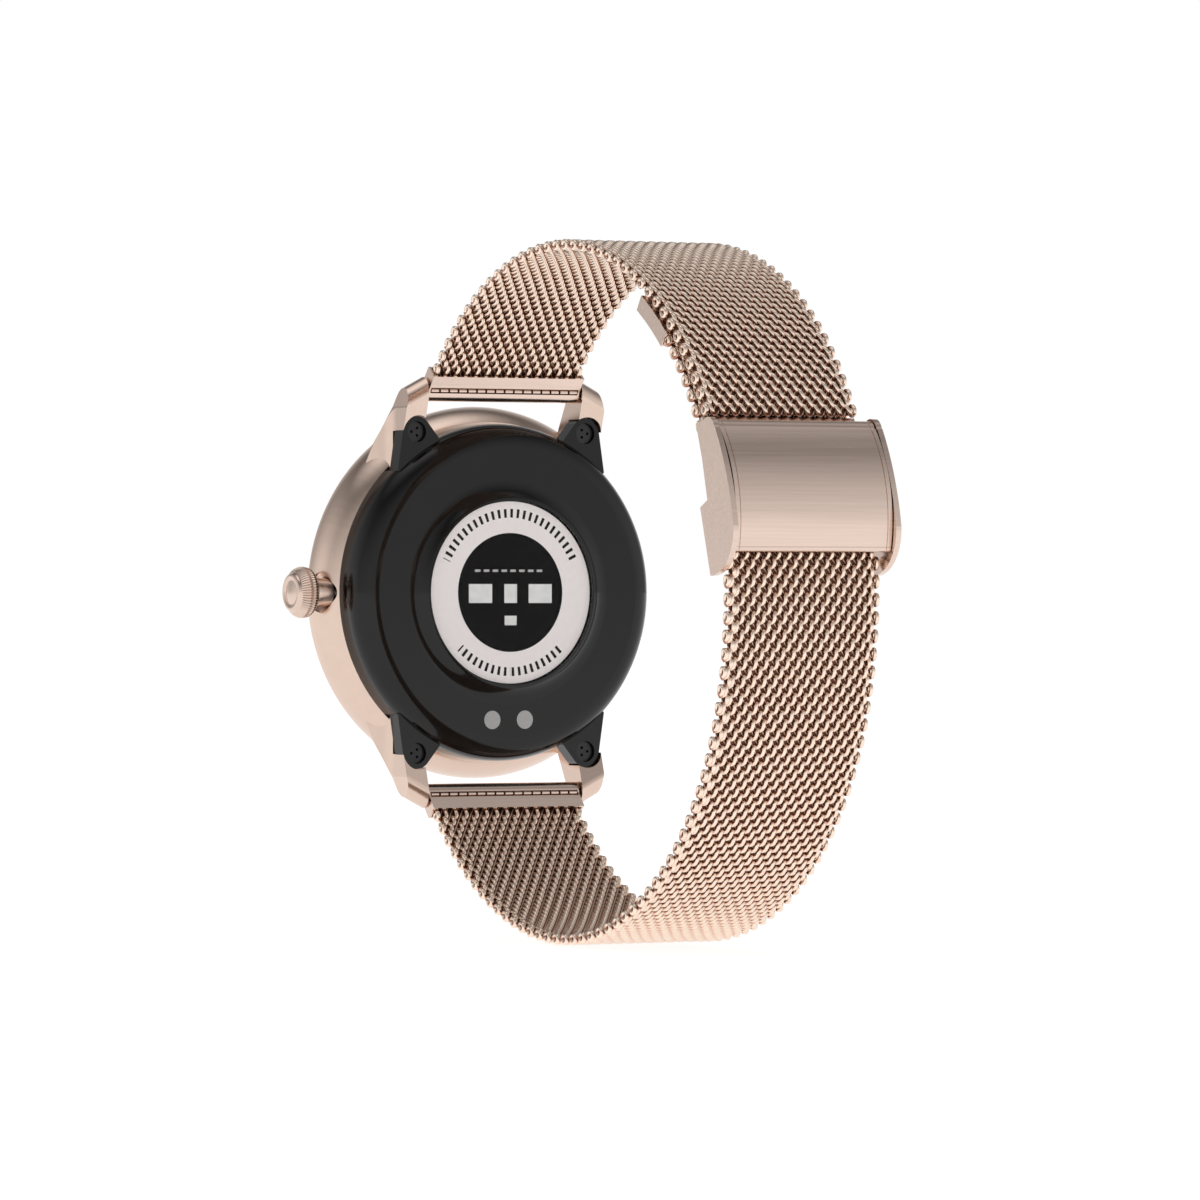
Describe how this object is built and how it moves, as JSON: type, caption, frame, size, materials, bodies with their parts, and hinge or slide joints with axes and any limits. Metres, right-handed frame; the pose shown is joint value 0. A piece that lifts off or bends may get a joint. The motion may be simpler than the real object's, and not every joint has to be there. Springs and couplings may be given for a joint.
{
  "type": "smartwatch",
  "caption": "Round smartwatch with a glossy domed back, a side crown and a woven metal strap that closes into a loop with a flip clasp.",
  "frame": {"origin": "centre of the flat sensor lens on the back, at its outer face", "axes": "+Z towards 12 o'clock, +Y out of the display, -Y towards the wrist, -X towards the crown"},
  "size_m": [0.0463, 0.078, 0.078],
  "materials": {
    "case_rose": "satin rose-gold coating over fine brushing",
    "glass_black": "polished, black behind",
    "seal_rubber": "matt",
    "display": "black when off",
    "flex_film": "amber film",
    "frame_plastic": "moulded, fine grain",
    "board": "green solder mask",
    "chip_plastic": "moulded epoxy",
    "shield_steel": "rolled sheet",
    "battery_foil": "wrapped foil",
    "steel": "turned",
    "cover_black": "glossy black",
    "screw_black": "black oxide",
    "lens_clear": "clear, polished",
    "print_white": "white print under the lens",
    "print_black": "black print under the lens",
    "window_white": "translucent white",
    "contact_steel": "fine satin",
    "strap_rose": "polished rose-gold coating",
    "mesh_rose": "woven wire, rose-gold coating",
    "clasp_rose": "fine brushing along the width, rose-gold coating"
  },
  "bodies": {
    "case": {"case_body": "case_rose", "bezel_ring": "case_rose", "cover_glass": "glass_black", "glass_seal": "seal_rubber", "display_panel": "display", "display_flex": "flex_film", "inner_frame": "frame_plastic", "main_board": "board", "board_chips": "chip_plastic", "shield_can": "shield_steel", "battery": "battery_foil", "vibration_motor": "shield_steel", "antenna": "flex_film", "push_switch": "shield_steel", "crown_tube": "steel", "rear_cover": "cover_black", "rear_seal": "seal_rubber", "rear_screws": "screw_black", "sensor_lens": "lens_clear", "lens_print_ring": "print_white", "lens_print_disc": "print_black", "sensor_windows": "window_white", "sensor_board": "board", "sensor_chips": "chip_plastic", "sensor_baffle": "frame_plastic", "charging_contacts": "contact_steel", "charging_magnets": "shield_steel"},
    "upper_strap": {"upper_end_plate": "strap_rose", "upper_end_beads": "strap_rose", "upper_bar_barrel": "steel", "upper_spring_left": "steel", "upper_spring_right": "steel", "upper_mesh": "mesh_rose", "strap_anchor": "strap_rose", "clasp_frame": "clasp_rose", "clasp_hinge_pin": "steel"},
    "clasp_lid": {"clasp_cover": "clasp_rose", "clasp_tongue": "steel"},
    "lower_strap": {"lower_end_plate": "strap_rose", "lower_end_beads": "strap_rose", "lower_bar_barrel": "steel", "lower_spring_left": "steel", "lower_spring_right": "steel", "lower_mesh": "mesh_rose", "tail_cap": "strap_rose", "clasp_slider": "clasp_rose"},
    "upper_left_tip": {"upper_bar_tip_left": "steel"},
    "upper_right_tip": {"upper_bar_tip_right": "steel"},
    "lower_left_tip": {"lower_bar_tip_left": "steel"},
    "lower_right_tip": {"lower_bar_tip_right": "steel"},
    "crown_plunger": {"switch_plunger": "frame_plastic"},
    "crown": {"crown_knob": "case_rose", "crown_stem": "steel", "crown_clip": "steel", "crown_seals": "seal_rubber"}
  },
  "joints": [
    {"name": "upper_strap_swing", "type": "hinge", "parent": "case", "child": "upper_strap", "pos_m": [0, 0.0031, 0.02295], "axis": [-1, 0, 0], "range_deg": [0, 70]},
    {"name": "lower_strap_swing", "type": "hinge", "parent": "case", "child": "lower_strap", "pos_m": [0, 0.0031, -0.02295], "axis": [1, 0, 0], "range_deg": [0, 70]},
    {"name": "clasp_flip", "type": "hinge", "parent": "upper_strap", "child": "clasp_lid", "pos_m": [0, -0.06198, 0.01719], "axis": [-1, 0, 0], "range_deg": [0, 95]},
    {"name": "crown_push", "type": "slide", "parent": "case", "child": "crown_plunger", "axis": [1, 0, 0], "range_m": [0, 0.0006], "stiffness_N_per_m": 1500, "springref_m": -0.0006},
    {"name": "crown_spin", "type": "hinge", "parent": "crown_plunger", "child": "crown", "pos_m": [-0.02, 0.0071, 0], "axis": [-1, 0, 0], "continuous": true},
    {"name": "upper_left_tip_slide", "type": "slide", "parent": "upper_strap", "child": "upper_left_tip", "axis": [1, 0, 0], "range_m": [0, 0.0011], "stiffness_N_per_m": 400, "springref_m": -0.001, "deforming": ["upper_spring_left"]},
    {"name": "upper_right_tip_slide", "type": "slide", "parent": "upper_strap", "child": "upper_right_tip", "axis": [-1, 0, 0], "range_m": [0, 0.0011], "stiffness_N_per_m": 400, "springref_m": -0.001, "deforming": ["upper_spring_right"]},
    {"name": "lower_left_tip_slide", "type": "slide", "parent": "lower_strap", "child": "lower_left_tip", "axis": [1, 0, 0], "range_m": [0, 0.0011], "stiffness_N_per_m": 400, "springref_m": -0.001, "deforming": ["lower_spring_left"]},
    {"name": "lower_right_tip_slide", "type": "slide", "parent": "lower_strap", "child": "lower_right_tip", "axis": [-1, 0, 0], "range_m": [0, 0.0011], "stiffness_N_per_m": 400, "springref_m": -0.001, "deforming": ["lower_spring_right"]}
  ],
  "couplings": [
    {"joint": "lower_strap_swing", "follows": "upper_strap_swing", "ratio": 1}
  ]
}
